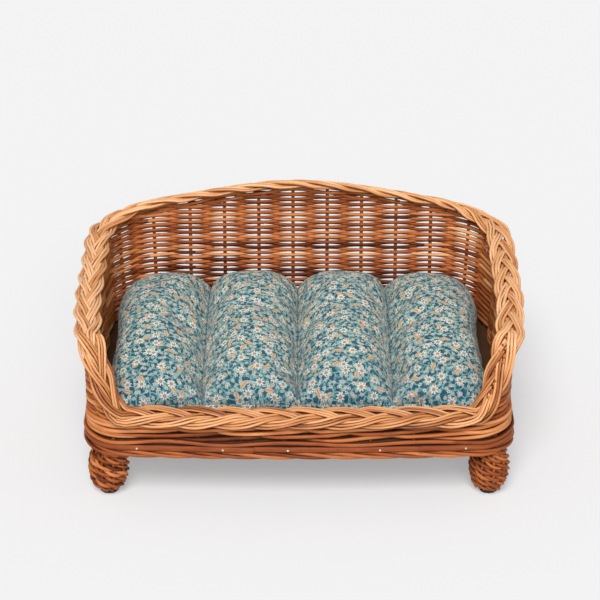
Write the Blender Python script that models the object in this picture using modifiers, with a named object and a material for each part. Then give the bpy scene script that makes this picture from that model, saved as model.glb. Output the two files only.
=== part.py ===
# Woven willow pet sofa: a low basket with raised arms and back on four ball feet, with a loose
# cushion sewn in four channels. Metres, +Z up, the open front towards -Y, +X to the right.
import math

import bmesh
import bpy
from mathutils import Vector

# Plan of the wall, on the line of the stakes
HALF_WIDTH = 0.279
HALF_DEPTH = 0.193
FRONT_CORNER_RADIUS = 0.055
BACK_CORNER_RADIUS = 0.085
FRONT_BOW = 0.010

# Lean of the wall, outwards per metre of height
SIDE_FLARE = 0.02
BACK_FLARE = 0.09
FRONT_FLARE = 0.02

# Heights of the border's middle line above the floor
FRONT_RIM = 0.125
ARM_RIM = 0.229
SHOULDER_RIM = 0.245
BACK_RIM = 0.282

# Where the border climbs the front corners, measured round the wall from the start of the corner
RISE_START = 0.016
RISE_LENGTH = 0.060

# Base and feet
FOOT_HEIGHT = 0.070
BOARD_THICKNESS = 0.012
BOARD_OVERHANG = 0.0065
HOOP_DEPTH = 0.0048
BOTTOM_BORDER_DIAMETER = 0.0105
BOTTOM_BORDER_FLATNESS = 0.62
BOTTOM_BORDER_TWISTS = 40
BALL_DIAMETER = 0.053
BALL_TAPER = 0.72
BALL_ROWS = 6
BALL_ROW_DEPTH = 0.0016
LEG_DIAMETER = 0.014
LEG_INSET = 0.006
GLIDE_DIAMETER = 0.027
GLIDE_THICKNESS = 0.0045
GLIDE_ROUNDING = 0.0018
GLIDE_PIN_DIAMETER = 0.003
GLIDE_PIN_LENGTH = 0.012

# Willow rods
STAKE_COUNT = 33
STAKE_CROWDING = 0.067
STAKE_SHIFT = 0.0089
STAKE_DIAMETER = 0.0055
WALE_DIAMETER = 0.0052
WALE_PITCH = 0.0058
WALE_TURNS = 2
WEAVER_DIAMETER = 0.0050
ROW_PITCH = 0.0060

# Plaited border
STRAND_COUNT = 5
STRAND_WIDTH = 0.0120
STRAND_THICKNESS = 0.0046
PLAIT_GAP = 0.0010
PLAIT_SWING = 0.0165
PLAIT_PERIODS = 8
PLAIT_DOME_RADIUS = 0.040
FRONT_ROLL = math.radians(20)
BACK_ROLL = math.radians(20)

# Cushion
CUSHION_SIDE_GAP = 0.025
CUSHION_FRONT_GAP = 0.022
CUSHION_BACK_GAP = 0.021
CUSHION_HEIGHT = 0.088
CUSHION_FRONT_DROP = 0.020
CUSHION_PULL = 0.010
CUSHION_CORNER = 0.10
CUSHION_WAIST = 0.38
CHANNEL_COUNT = 4
SEAM_HEIGHT = 0.050
CUSHION_EDGE = 0.006
COVER_THICKNESS = 0.0012
FILL_GAP = 0.006
FILL_SIDE_GAP = 0.018
ZIP_SHARE = 0.5

# Clearances: between pieces that touch, and round a rod in its hole
CLEARANCE = 0.0004
HOLE_CLEARANCE = 0.0007

# Facets
ARC_STEPS = 16
STRAIGHT_STEPS = 16
RING_STEPS = 60
PLAIT_STEPS = 16
BALL_STEPS = 12
TURNED_STEPS = 12
HOLE_SIDES = 6
ROPE_SIDES = 4
TWIST_STEPS = 3
CHANNEL_STEPS = 6
CUSHION_STEPS = 8
SHARP_EDGE = math.radians(50)
CURVED_BAY = math.radians(12)

# Steps for measuring slopes, and for measuring lengths along the border
SLOPE_STEP = 0.003
MEASURING_STEPS = 1360

BOARD_BOTTOM = FOOT_HEIGHT + BOTTOM_BORDER_DIAMETER + CLEARANCE
BOARD_TOP = BOARD_BOTTOM + BOARD_THICKNESS
BOARD_MIDDLE = BOARD_BOTTOM + BOARD_THICKNESS / 2
PLAIT_LIFT = STRAND_THICKNESS + PLAIT_GAP
PLAIT_HALF_THICKNESS = PLAIT_LIFT + STRAND_THICKNESS / 2
STAKE_RADIUS = STAKE_DIAMETER / 2
WEAVER_RADIUS = WEAVER_DIAMETER / 2
WALE_RADIUS = WALE_DIAMETER / 2
WEAVER_OFFSET = STAKE_RADIUS + WEAVER_RADIUS + CLEARANCE
WALE_OFFSET = STAKE_RADIUS + WALE_RADIUS + CLEARANCE

WILLOW = ("willow", (0.60, 0.29, 0.11), 0.55)
DARK_WILLOW = ("dark willow", (0.44, 0.19, 0.07), 0.60)
PLYWOOD = ("plywood", (0.66, 0.50, 0.32), 0.70)
TURNED_WOOD = ("turned wood", (0.58, 0.40, 0.22), 0.65)
BLACK_PLASTIC = ("black plastic", (0.02, 0.02, 0.02), 0.45)
PRINTED_COTTON = ("printed cotton", (0.16, 0.30, 0.36), 0.85)
FIBRE_FILL = ("fibre fill", (0.86, 0.85, 0.82), 0.95)


def clear_scene():
    for old in list(bpy.data.objects):
        bpy.data.objects.remove(old, do_unlink=True)


def new_collection(name):
    collection = bpy.data.collections.new(name)
    bpy.context.scene.collection.children.link(collection)
    return collection


def finish(name, colour, roughness):
    material = bpy.data.materials.new(name)
    material.use_nodes = True
    shader = material.node_tree.nodes["Principled BSDF"]
    shader.inputs["Base Color"].default_value = (*colour, 1.0)
    shader.inputs["Roughness"].default_value = roughness
    shader.inputs["Metallic"].default_value = 0.0
    return material


def smoothstep(t):
    t = min(1.0, max(0.0, t))
    return t * t * (3 - 2 * t)


# The plan is a rounded rectangle whose front bows out. It runs from the middle of the front to
# the right, round the back and home again.
def plan_outline():
    front = HALF_WIDTH - FRONT_CORNER_RADIUS
    points = []
    for step in range(STRAIGHT_STEPS):
        points.append((front * step / STRAIGHT_STEPS, -HALF_DEPTH))
    corners = (
        (1, -1, FRONT_CORNER_RADIUS, -90),
        (1, 1, BACK_CORNER_RADIUS, 0),
        (-1, 1, BACK_CORNER_RADIUS, 90),
        (-1, -1, FRONT_CORNER_RADIUS, 180),
    )
    for side_x, side_y, radius, start in corners:
        for step in range(ARC_STEPS + 1):
            angle = math.radians(start + 90 * step / ARC_STEPS)
            x = side_x * (HALF_WIDTH - radius) + radius * math.cos(angle)
            y = side_y * (HALF_DEPTH - radius) + radius * math.sin(angle)
            points.append((x, y))
    for step in range(1, STRAIGHT_STEPS + 1):
        points.append((-front * (1 - step / STRAIGHT_STEPS), -HALF_DEPTH))
    bowed = []
    for x, y in points:
        share = max(0.0, -y / HALF_DEPTH) ** 4
        bowed.append(Vector((x, y - FRONT_BOW * (1 - (x / HALF_WIDTH) ** 2) * share, 0.0)))
    return bowed


PLAN = plan_outline()
RUN = [0.0]
for before, after in zip(PLAN, PLAN[1:]):
    RUN.append(RUN[-1] + (after - before).length)
LOOP = RUN[-1]
FRONT_CORNER = HALF_WIDTH - FRONT_CORNER_RADIUS
SIDE_START = FRONT_CORNER + math.pi / 2 * FRONT_CORNER_RADIUS
SIDE_END = SIDE_START + 2 * HALF_DEPTH - FRONT_CORNER_RADIUS - BACK_CORNER_RADIUS



# How far round the border's dome a strand has swung, and its distance from the dome's middle
def plait_place(phase):
    turn = PLAIT_SWING * math.sin(phase) / PLAIT_DOME_RADIUS
    return turn, PLAIT_DOME_RADIUS - PLAIT_LIFT * math.sin(2 * phase)


# How far the border's outer edge stands out from its middle line
def border_reach(roll):
    reach = 0.0
    for step in range(MEASURING_STEPS):
        turn, radius = plait_place(2 * math.pi * step / MEASURING_STEPS)
        edge = radius * math.sin(turn + roll) + STRAND_WIDTH / 2 * math.cos(turn + roll)
        reach = max(reach, edge - PLAIT_DOME_RADIUS * math.sin(roll))
    return reach


# The box's middle in depth sits on the origin
FRONT_REACH = HALF_DEPTH + FRONT_BOW + FRONT_FLARE * (FRONT_RIM - BOARD_MIDDLE) + border_reach(FRONT_ROLL)
BACK_REACH = HALF_DEPTH + BACK_FLARE * (BACK_RIM - BOARD_MIDDLE) + border_reach(BACK_ROLL)
PLAN_SHIFT = Vector((0.0, (FRONT_REACH - BACK_REACH) / 2, 0.0))


def plan_point(run):
    run %= LOOP
    low = 0
    high = len(RUN) - 1
    while high - low > 1:
        middle = (low + high) // 2
        if RUN[middle] <= run:
            low = middle
        else:
            high = middle
    share = (run - RUN[low]) / (RUN[high] - RUN[low])
    return PLAN[low].lerp(PLAN[high], share)


def plan_normal(run):
    along = (plan_point(run + SLOPE_STEP) - plan_point(run - SLOPE_STEP)).normalized()
    return Vector((along.y, -along.x, 0.0))


def front_distance(run):
    run %= LOOP
    return min(run, LOOP - run)


def rim_height(run):
    distance = front_distance(run)
    climb = smoothstep((distance - FRONT_CORNER - RISE_START) / RISE_LENGTH)
    arm = min(1.0, max(0.0, (distance - SIDE_START) / (SIDE_END - SIDE_START)))
    arch = smoothstep((distance - SIDE_END) / (LOOP / 2 - SIDE_END))
    height = FRONT_RIM + (ARM_RIM - FRONT_RIM) * climb
    return height + (SHOULDER_RIM - ARM_RIM) * arm + (BACK_RIM - SHOULDER_RIM) * arch


# The border rolls outwards along the front and the back, and lies level on the arms
def border_roll(run):
    distance = front_distance(run)
    front = 1 - smoothstep((distance - FRONT_CORNER) / (SIDE_START - FRONT_CORNER))
    back = smoothstep((distance - SIDE_END) / (BACK_CORNER_RADIUS * math.pi / 2))
    return FRONT_ROLL * front + BACK_ROLL * back


# A place at the base: how far round, how high, and how far outside the line of the stakes
def base_point(run, height, outside=0.0):
    point = plan_point(run) + plan_normal(run) * outside + PLAN_SHIFT
    return Vector((point.x, point.y, height))


# The same on the wall, which leans out from the middle of the board
def wall_point(run, height, outside=0.0):
    normal = plan_normal(run)
    end_flare = BACK_FLARE if normal.y > 0 else FRONT_FLARE
    flare = SIDE_FLARE * normal.x ** 2 + end_flare * normal.y ** 2
    return base_point(run, height, outside + flare * (height - BOARD_MIDDLE))


# The highest that something reaching so far along and across the wall may stand under the border
def headroom(run, reach):
    lowest = 1.0
    for side in (-1, 0, 1):
        place = run + side * reach
        slope = (rim_height(place + SLOPE_STEP) - rim_height(place - SLOPE_STEP)) / (2 * SLOPE_STEP)
        droop = reach * math.tan(border_roll(place)) + reach ** 2 / PLAIT_DOME_RADIUS
        half = PLAIT_HALF_THICKNESS * math.sqrt(1 + slope * slope) + droop
        lowest = min(lowest, rim_height(place) - half)
    return lowest - CLEARANCE


def make_object(name, mesh, look):
    mesh.materials.append(LOOKS[look])
    piece = bpy.data.objects.new(name, mesh)
    PARTS.objects.link(piece)
    return piece


def make_rod(name, points, radius, look, sides_step, closed=False):
    curve = bpy.data.curves.new(name, "CURVE")
    curve.dimensions = "3D"
    curve.twist_mode = "Z_UP"
    curve.bevel_depth = radius
    curve.bevel_resolution = sides_step
    curve.use_fill_caps = not closed
    spline = curve.splines.new("POLY")
    spline.points.add(len(points) - 1)
    for knot, point in zip(spline.points, points):
        knot.co = (*point, 1.0)
    spline.use_cyclic_u = closed
    spline.use_smooth = True
    return make_object(name, curve, look)


# A closed ring skinned over equal sections
def make_ring(name, sections, look):
    shape = bmesh.new()
    loops = []
    for section in sections:
        loops.append([shape.verts.new(point) for point in section])
    for here, there in zip(loops, loops[1:] + loops[:1]):
        for corner in range(len(here)):
            after = (corner + 1) % len(here)
            shape.faces.new((here[corner], here[after], there[after], there[corner]))
    bmesh.ops.recalc_face_normals(shape, faces=shape.faces)
    mesh = bpy.data.meshes.new(name)
    shape.to_mesh(mesh)
    shape.free()
    mesh.shade_smooth()
    mesh.set_sharp_from_angle(angle=SHARP_EDGE)
    return make_object(name, mesh, look)


def make_turned(name, profile, place, look, steps):
    shape = bmesh.new()
    corners = [shape.verts.new((radius, 0.0, height)) for radius, height in profile]
    for before, after in zip(corners, corners[1:]):
        shape.edges.new((before, after))
    if profile[0][0] > 0:
        shape.edges.new((corners[-1], corners[0]))
    mesh = bpy.data.meshes.new(name)
    shape.to_mesh(mesh)
    shape.free()
    piece = make_object(name, mesh, look)
    piece.location = place
    screw = piece.modifiers.new("turn", "SCREW")
    screw.angle = 2 * math.pi
    screw.steps = steps
    screw.render_steps = steps
    screw.use_merge_vertices = True
    screw.merge_threshold = 0.00001
    screw.use_smooth_shade = True
    return piece


# Stakes stand closer at the back than at the front
def stake_run(index):
    share = (index + 0.5) / STAKE_COUNT
    return LOOP * (share + STAKE_CROWDING * math.sin(2 * math.pi * share) / (2 * math.pi)) + STAKE_SHIFT


def stake_side(index):
    normal = plan_normal(stake_run(index))
    if abs(normal.x) > abs(normal.y):
        return "right" if normal.x > 0 else "left"
    return "back" if normal.y > 0 else "front"


def make_stakes():
    counts = {"front": 0, "right": 0, "back": 0, "left": 0}
    for index in range(STAKE_COUNT):
        run = stake_run(index)
        side = stake_side(index)
        counts[side] += 1
        top = headroom(run, STAKE_RADIUS)
        points = [wall_point(run, height) for height in (BOARD_BOTTOM + CLEARANCE, top)]
        make_rod(f"{side}_stake_{counts[side]}", points, STAKE_RADIUS, "willow", 1)


def make_base_board():
    curve = bpy.data.curves.new("base_board", "CURVE")
    curve.dimensions = "2D"
    curve.fill_mode = "BOTH"
    curve.extrude = BOARD_THICKNESS / 2
    spline = curve.splines.new("POLY")
    edge = [base_point(LOOP * step / RING_STEPS, 0.0, BOARD_OVERHANG) for step in range(RING_STEPS)]
    spline.points.add(len(edge) - 1)
    for knot, point in zip(spline.points, edge):
        knot.co = (point.x, point.y, 0.0, 1.0)
    spline.use_cyclic_u = True
    outline = bpy.data.objects.new("board_outline", curve)
    CUTTERS.objects.link(outline)
    outline.location.z = BOARD_MIDDLE
    bpy.context.view_layer.update()
    evaluated = outline.evaluated_get(bpy.context.evaluated_depsgraph_get())
    mesh = bpy.data.meshes.new_from_object(evaluated)
    mesh.name = "base_board"
    shape = bmesh.new()
    shape.from_mesh(mesh)
    bmesh.ops.remove_doubles(shape, verts=shape.verts, dist=0.00001)
    bmesh.ops.recalc_face_normals(shape, faces=shape.faces)
    shape.to_mesh(mesh)
    shape.free()
    mesh.materials.clear()
    board = make_object("base_board", mesh, "plywood")
    board.matrix_world = outline.matrix_world
    bpy.data.objects.remove(outline, do_unlink=True)
    cut = board.modifiers.new("stake holes", "BOOLEAN")
    cut.operation = "DIFFERENCE"
    cut.object = make_stake_hole_cutter()


def make_stake_hole_cutter():
    shape = bmesh.new()
    depth = 2 * BOARD_THICKNESS
    radius = (STAKE_RADIUS + HOLE_CLEARANCE) / math.cos(math.pi / HOLE_SIDES)
    for index in range(STAKE_COUNT):
        hole = bmesh.ops.create_cone(
            shape, cap_ends=True, segments=HOLE_SIDES, radius1=radius, radius2=radius, depth=depth)
        centre = base_point(stake_run(index), BOARD_MIDDLE)
        bmesh.ops.translate(shape, verts=hole["verts"], vec=centre)
    mesh = bpy.data.meshes.new("stake_hole_cutter")
    shape.to_mesh(mesh)
    shape.free()
    cutter = bpy.data.objects.new("stake_hole_cutter", mesh)
    CUTTERS.objects.link(cutter)
    cutter.hide_render = True
    cutter.display_type = "WIRE"
    return cutter


# A half-round strip round the edge of the board, its flat face inwards
def make_hoop():
    sections = []
    for step in range(RING_STEPS):
        run = LOOP * step / RING_STEPS
        section = []
        for angle in (-90, -45, 0, 45, 90):
            turn = math.radians(angle)
            outside = BOARD_OVERHANG + CLEARANCE + HOOP_DEPTH * math.cos(turn)
            height = BOARD_MIDDLE + BOARD_THICKNESS / 2 * math.sin(turn)
            section.append(base_point(run, height, outside))
        sections.append(section)
    make_ring("base_hoop", sections, "willow")


# Two rods twisted into a rope, as one oval that turns as it runs
def make_bottom_border():
    radius = BOTTOM_BORDER_DIAMETER / 2
    steps = BOTTOM_BORDER_TWISTS * TWIST_STEPS
    centre = FOOT_HEIGHT + radius
    sections = []
    for step in range(steps):
        run = LOOP * step / steps
        twist = math.pi * BOTTOM_BORDER_TWISTS * step / steps
        section = []
        for corner in range(ROPE_SIDES):
            angle = 2 * math.pi * corner / ROPE_SIDES
            across = radius * math.cos(angle)
            thick = BOTTOM_BORDER_FLATNESS * radius * math.sin(angle)
            outside = across * math.cos(twist) - thick * math.sin(twist)
            height = across * math.sin(twist) + thick * math.cos(twist)
            section.append(base_point(run, centre + height, BOARD_OVERHANG + outside))
        sections.append(section)
    make_ring("bottom_border", sections, "willow")


# Where the wall curves between two stakes, a rod has a place of its own in the middle of the bay
def curved_bay(first, second):
    return plan_normal(first).angle(plan_normal(second)) > CURVED_BAY


# Outside two stakes and inside the next, one stake on in each turn
def wale_side(count):
    return -1 if (count + count // STAKE_COUNT) % 3 == 0 else 1


# One rod wound round the foot of the wall
def make_wale():
    bottom = BOARD_TOP + CLEARANCE + WALE_RADIUS
    points = []
    for count in range(WALE_TURNS * STAKE_COUNT):
        run = stake_run(count)
        next_run = stake_run(count + 1)
        side = wale_side(count)
        next_side = wale_side(count + 1)
        height = bottom + WALE_PITCH * count / STAKE_COUNT
        points.append(wall_point(run, height, side * WALE_OFFSET))
        if curved_bay(run, next_run):
            between = (run + next_run) / 2
            lift = WALE_PITCH * 0.5 / STAKE_COUNT
            points.append(wall_point(between, height + lift, (side + next_side) / 2 * WALE_OFFSET))
    make_rod("waling", points, WALE_RADIUS, "dark willow", 0)


# A row runs from the back's middle out to both sides, as far as the stakes are tall enough for it
# and no further than the front corners
def row_ends(height):
    middle = STAKE_COUNT // 2
    reach = WEAVER_OFFSET + WEAVER_RADIUS
    ends = []
    for step in (-1, 1):
        last = middle
        while (front_distance(stake_run(last + step)) > FRONT_CORNER
               and headroom(stake_run(last + step), reach) > height + WEAVER_RADIUS):
            last += step
        ends.append(last)
    return ends


def turn_round(stake, way, side, low, high):
    run = stake_run(stake)
    points = []
    for angle in (45, 90, 135):
        turn = math.radians(angle)
        height = low + (high - low) * angle / 180
        along = WEAVER_OFFSET * math.sin(turn) * way
        across = WEAVER_OFFSET * math.cos(turn) * side
        points.append(wall_point(run + along, height, across))
    return points


# One rod goes to and fro over the arms and back, before one stake and behind the next, and turns
# round the last stake at each end of a row
def make_wall_weave():
    bottom = BOARD_TOP + 2 * CLEARANCE + WALE_DIAMETER + WALE_TURNS * WALE_PITCH + WEAVER_RADIUS
    rows = int((headroom(LOOP / 2, WEAVER_OFFSET) - WEAVER_RADIUS - bottom) / ROW_PITCH) + 1
    heights = [bottom + ROW_PITCH * row for row in range(rows)]
    heights = [height for height in heights if row_ends(height)[1] - row_ends(height)[0] >= 2]
    points = []
    here = row_ends(heights[0])[0]
    for row, height in enumerate(heights):
        last_row = row == len(heights) - 1
        way = 1 if row % 2 == 0 else -1
        above = height if last_row else heights[row + 1]
        target = row_ends(above)[1 if way > 0 else 0]
        for stake in range(here, target + way, way):
            side = 1 if (stake + row) % 2 == 0 else -1
            points.append(wall_point(stake_run(stake), height, side * WEAVER_OFFSET))
            if stake != target and curved_bay(stake_run(stake), stake_run(stake + way)):
                points.append(wall_point((stake_run(stake) + stake_run(stake + way)) / 2, height))
        if not last_row:
            side = 1 if (target + row) % 2 == 0 else -1
            points.extend(turn_round(target, way, side, height, above))
        here = target
    make_rod("wall_weave", points, WEAVER_RADIUS, "dark willow", 0)


def border_middle(run):
    return wall_point(run, rim_height(run))


# Equal steps along the border's own length, which climbs as well as goes round
def border_runs(steps):
    lengths = [0.0]
    for step in range(MEASURING_STEPS):
        first = border_middle(LOOP * step / MEASURING_STEPS)
        second = border_middle(LOOP * (step + 1) / MEASURING_STEPS)
        lengths.append(lengths[-1] + (second - first).length)
    runs = []
    place = 0
    for step in range(steps):
        wanted = lengths[-1] * step / steps
        while lengths[place + 1] < wanted:
            place += 1
        share = (wanted - lengths[place]) / (lengths[place + 1] - lengths[place])
        runs.append(LOOP * (place + share) / MEASURING_STEPS)
    return runs


def border_frame(run):
    along = (border_middle(run + SLOPE_STEP) - border_middle(run - SLOPE_STEP)).normalized()
    out = plan_normal(run)
    out = (out - along * out.dot(along)).normalized()
    up = out.cross(along)
    roll = border_roll(run)
    rolled_out = out * math.cos(roll) - up * math.sin(roll)
    rolled_up = up * math.cos(roll) + out * math.sin(roll)
    return border_middle(run), along, rolled_out, rolled_up


# Flat strands plaited into a closed ring over a domed edge. Each swings across the border, over its
# neighbours from an edge to the middle and then under them to the other edge.
def make_border():
    steps = PLAIT_PERIODS * PLAIT_STEPS
    runs = border_runs(steps)
    frames = [border_frame(run) for run in runs]
    outline = ((0.5, 0.0), (0.0, 0.5), (-0.5, 0.0), (0.0, -0.5))
    for strand in range(STRAND_COUNT):
        path = []
        faces = []
        for step, (middle, along, out, up) in enumerate(frames):
            turn, radius = plait_place(2 * math.pi * (step / PLAIT_STEPS + strand / STRAND_COUNT))
            face = up * math.cos(turn) + out * math.sin(turn)
            path.append(middle - up * PLAIT_DOME_RADIUS + face * radius)
            faces.append(face)
        sections = []
        for step, face in enumerate(faces):
            tangent = (path[(step + 1) % steps] - path[step - 1]).normalized()
            thick = (face - tangent * face.dot(tangent)).normalized()
            wide = thick.cross(tangent)
            section = []
            for across, above in outline:
                offset = wide * (across * STRAND_WIDTH) + thick * (above * STRAND_THICKNESS)
                section.append(path[step] + offset)
            sections.append(section)
        make_ring(f"border_strand_{strand + 1}", sections, "willow")


def leg_places():
    places = []
    front = FRONT_CORNER + math.pi / 4 * FRONT_CORNER_RADIUS
    back = SIDE_END + math.pi / 4 * BACK_CORNER_RADIUS
    corners = (("front_right", front), ("back_right", back), ("back_left", -back), ("front_left", -front))
    for name, run in corners:
        places.append((name, base_point(run, 0.0, -LEG_INSET)))
    return places


def make_feet():
    leg_radius = LEG_DIAMETER / 2
    leg_top = BOARD_BOTTOM - CLEARANCE
    leg_bottom = GLIDE_THICKNESS + CLEARANCE
    pin_radius = GLIDE_PIN_DIAMETER / 2
    pin_top = GLIDE_THICKNESS + GLIDE_PIN_LENGTH
    hole_radius = pin_radius + HOLE_CLEARANCE
    hole_top = pin_top + HOLE_CLEARANCE
    ball_radius = BALL_DIAMETER / 2
    ball_bottom = GLIDE_THICKNESS + CLEARANCE
    ball_top = FOOT_HEIGHT - CLEARANCE
    bore = leg_radius + HOLE_CLEARANCE
    glide_radius = GLIDE_DIAMETER / 2
    leg = [(0, leg_top), (leg_radius, leg_top), (leg_radius, leg_bottom), (hole_radius, leg_bottom)]
    leg += [(hole_radius, hole_top), (0, hole_top)]
    glide = [(0, pin_top), (pin_radius, pin_top), (pin_radius, GLIDE_THICKNESS)]
    glide += [(glide_radius - GLIDE_ROUNDING, GLIDE_THICKNESS)]
    glide += [(glide_radius, GLIDE_THICKNESS - GLIDE_ROUNDING), (glide_radius - GLIDE_ROUNDING, 0), (0, 0)]
    ball = [(bore, ball_top)]
    middle = (ball_top + ball_bottom) / 2
    half = (ball_top - ball_bottom) / 2
    for step in range(2 * BALL_ROWS + 1):
        height = ball_top - (ball_top - ball_bottom) * step / (2 * BALL_ROWS)
        share = (height - middle) / half
        swell = math.sqrt(max(0.0, 1 - BALL_TAPER * share * share))
        dent = BALL_ROW_DEPTH if step % 2 == 0 else 0.0
        ball.append((ball_radius * swell - dent, height))
    ball.append((bore, ball_bottom))
    for name, place in leg_places():
        make_turned(f"{name}_leg", leg, place, "turned wood", TURNED_STEPS)
        make_turned(f"{name}_ball_foot", ball, place, "dark willow", BALL_STEPS)
        make_turned(f"{name}_glide", glide, place, "black plastic", TURNED_STEPS)


# The cushion's plan is a rectangle with round corners and sides drawn in between them. Across and
# deep run from -1 to 1.
def cushion_point(across, deep):
    half_width = HALF_WIDTH - CUSHION_SIDE_GAP
    front = -HALF_DEPTH + CUSHION_FRONT_GAP
    back = HALF_DEPTH - CUSHION_BACK_GAP
    half_depth = (back - front) / 2
    round_x = math.sqrt(1 - CUSHION_CORNER * deep ** 4)
    round_y = math.sqrt(1 - CUSHION_CORNER * across ** 4)
    x = across * round_x * (half_width - CUSHION_PULL * (1 - deep ** 2))
    y = deep * round_y * (half_depth - CUSHION_PULL * (1 - across ** 2))
    return x, y + (front + back) / 2 + PLAN_SHIFT.y


def channel_roll(across):
    place = (across + 1) / 2 * CHANNEL_COUNT
    local = 2 * (place - min(CHANNEL_COUNT - 1, math.floor(place))) - 1
    return math.sqrt(max(0.0, 1 - local * local))


# Heights of the cover's upper and lower faces over a place on the plan
def cushion_heights(across, deep):
    bottom = BOARD_TOP + CLEARANCE
    edge = bottom + CUSHION_HEIGHT * CUSHION_WAIST
    end = math.sqrt(max(0.0, 1 - deep ** 4))
    outer = math.sqrt(max(0.0, 1 - across ** 10))
    crown = CUSHION_HEIGHT - CUSHION_FRONT_DROP * (1 - deep) / 2
    seam = SEAM_HEIGHT / CUSHION_HEIGHT
    roll = seam + (1 - seam) * channel_roll(across)
    top = edge + (bottom + crown * roll - edge) * end * outer
    low = edge - (edge - bottom) * math.sqrt(end) * math.sqrt(outer)
    return top + CUSHION_EDGE / 2, max(bottom, low - CUSHION_EDGE / 2)


def spread(count):
    return [math.sin(math.pi / 2 * (2 * step / count - 1)) for step in range(count + 1)]


# Upper and lower faces joined by a low band round the edge
def pillow_mesh(name, columns, rows, heights, zip_share):
    shape = bmesh.new()
    sheets = []
    for level in (0, 1):
        sheet = []
        for deep in rows:
            line = []
            for across in columns:
                x, y = cushion_point(across, deep)
                line.append(shape.verts.new((x, y, heights(across, deep)[level])))
            sheet.append(line)
        sheets.append(sheet)
    for sheet in sheets:
        for near, far in zip(sheet, sheet[1:]):
            for column in range(len(columns) - 1):
                shape.faces.new((near[column], near[column + 1], far[column + 1], far[column]))
    for row in range(len(rows) - 1):
        for column in (0, len(columns) - 1):
            edge = (sheets[0][row][column], sheets[0][row + 1][column])
            shape.faces.new((*edge, sheets[1][row + 1][column], sheets[1][row][column]))
    for column in range(len(columns) - 1):
        for row in (0, len(rows) - 1):
            at_zip = row > 0 and abs(columns[column] + columns[column + 1]) / 2 < zip_share
            if not at_zip:
                edge = (sheets[0][row][column], sheets[0][row][column + 1])
                shape.faces.new((*edge, sheets[1][row][column + 1], sheets[1][row][column]))
    bmesh.ops.recalc_face_normals(shape, faces=shape.faces)
    mesh = bpy.data.meshes.new(name)
    shape.to_mesh(mesh)
    shape.free()
    mesh.shade_smooth()
    return mesh


def make_cushion():
    columns = []
    for channel in range(CHANNEL_COUNT):
        for share in spread(CHANNEL_STEPS)[:-1]:
            columns.append(-1 + (2 * channel + 1 + share) / CHANNEL_COUNT)
    columns.append(1.0)
    cover = make_object("cushion_cover", pillow_mesh(
        "cushion_cover", columns, spread(CUSHION_STEPS), cushion_heights, ZIP_SHARE), "printed cotton")
    wall = cover.modifiers.new("cloth", "SOLIDIFY")
    wall.thickness = COVER_THICKNESS
    wall.offset = -1.0
    inset = COVER_THICKNESS + FILL_GAP

    def fill_heights(across, deep):
        top, bottom = cushion_heights(across, deep)
        return top - inset, bottom + inset

    half_width = HALF_WIDTH - CUSHION_SIDE_GAP
    half_depth = HALF_DEPTH - (CUSHION_FRONT_GAP + CUSHION_BACK_GAP) / 2
    half_channel = 1 / CHANNEL_COUNT - FILL_SIDE_GAP / half_width
    half_row = 1 - FILL_SIDE_GAP / half_depth
    for channel in range(CHANNEL_COUNT):
        middle = -1 + (2 * channel + 1) / CHANNEL_COUNT
        columns = [middle + half_channel * share for share in spread(CHANNEL_STEPS)]
        rows = [half_row * share for share in spread(CHANNEL_STEPS)]
        name = f"cushion_fill_{channel + 1}"
        make_object(name, pillow_mesh(name, columns, rows, fill_heights, 0.0), "fibre fill")


clear_scene()
PARTS = new_collection("pet_sofa_basket")
CUTTERS = new_collection("cutters")
LOOKS = {}
for look in (WILLOW, DARK_WILLOW, PLYWOOD, TURNED_WOOD, BLACK_PLASTIC, PRINTED_COTTON, FIBRE_FILL):
    LOOKS[look[0]] = finish(*look)
make_base_board()
make_hoop()
make_bottom_border()
make_feet()
make_stakes()
make_wale()
make_wall_weave()
make_border()
make_cushion()
print("pieces", len(PARTS.objects))
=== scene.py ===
import math
import random

import bpy
import numpy as np
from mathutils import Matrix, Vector


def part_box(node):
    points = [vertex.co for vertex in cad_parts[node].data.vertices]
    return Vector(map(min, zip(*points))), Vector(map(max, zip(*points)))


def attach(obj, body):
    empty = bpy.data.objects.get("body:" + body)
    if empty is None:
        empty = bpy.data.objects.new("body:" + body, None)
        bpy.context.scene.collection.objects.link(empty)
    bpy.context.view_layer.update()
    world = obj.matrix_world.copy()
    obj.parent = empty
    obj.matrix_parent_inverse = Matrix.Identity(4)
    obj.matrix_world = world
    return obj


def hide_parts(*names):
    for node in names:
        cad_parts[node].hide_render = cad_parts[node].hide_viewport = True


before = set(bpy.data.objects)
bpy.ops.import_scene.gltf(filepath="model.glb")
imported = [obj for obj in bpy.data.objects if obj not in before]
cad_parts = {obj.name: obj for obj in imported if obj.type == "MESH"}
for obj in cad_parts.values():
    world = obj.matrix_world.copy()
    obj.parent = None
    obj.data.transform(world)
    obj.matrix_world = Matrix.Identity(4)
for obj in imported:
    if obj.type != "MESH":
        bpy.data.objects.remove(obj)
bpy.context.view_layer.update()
rng = random.Random(23)
print("frame loaded,", len(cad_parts), "nodes")

# the basket's plan on the line of the stakes, and the line of its rim, fitted to the photograph
basket = {
    "halfWidth": 0.279, "halfDepth": 0.193, "frontCorner": 0.043, "backCorner": 0.085, "frontBow": 0.010,
    "sideFlare": 0.055, "backFlare": 0.09, "frontFlare": 0.02, "leanFrom": 0.0869, "shift": -0.0034,
    "frontRim": 0.1282, "armRim": 0.229, "shoulderRim": 0.249, "backRim": 0.2893,
    "riseStart": -0.004, "riseLength": 0.060, "drawnIn": 0.006, "drawnLength": 0.09,
    "frontRoll": math.radians(20), "backRoll": math.radians(20), "probe": 0.004,
    "stakes": 33, "crowding": 0.067, "stakeShift": 0.0089, "boardTop": 0.0929, "boardEdge": 0.0065,
    "sideKnots": 40, "cornerKnots": 24,
}


def softStep(t):
    t = min(1.0, max(0.0, t))
    return t * t * (3 - 2 * t)


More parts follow.
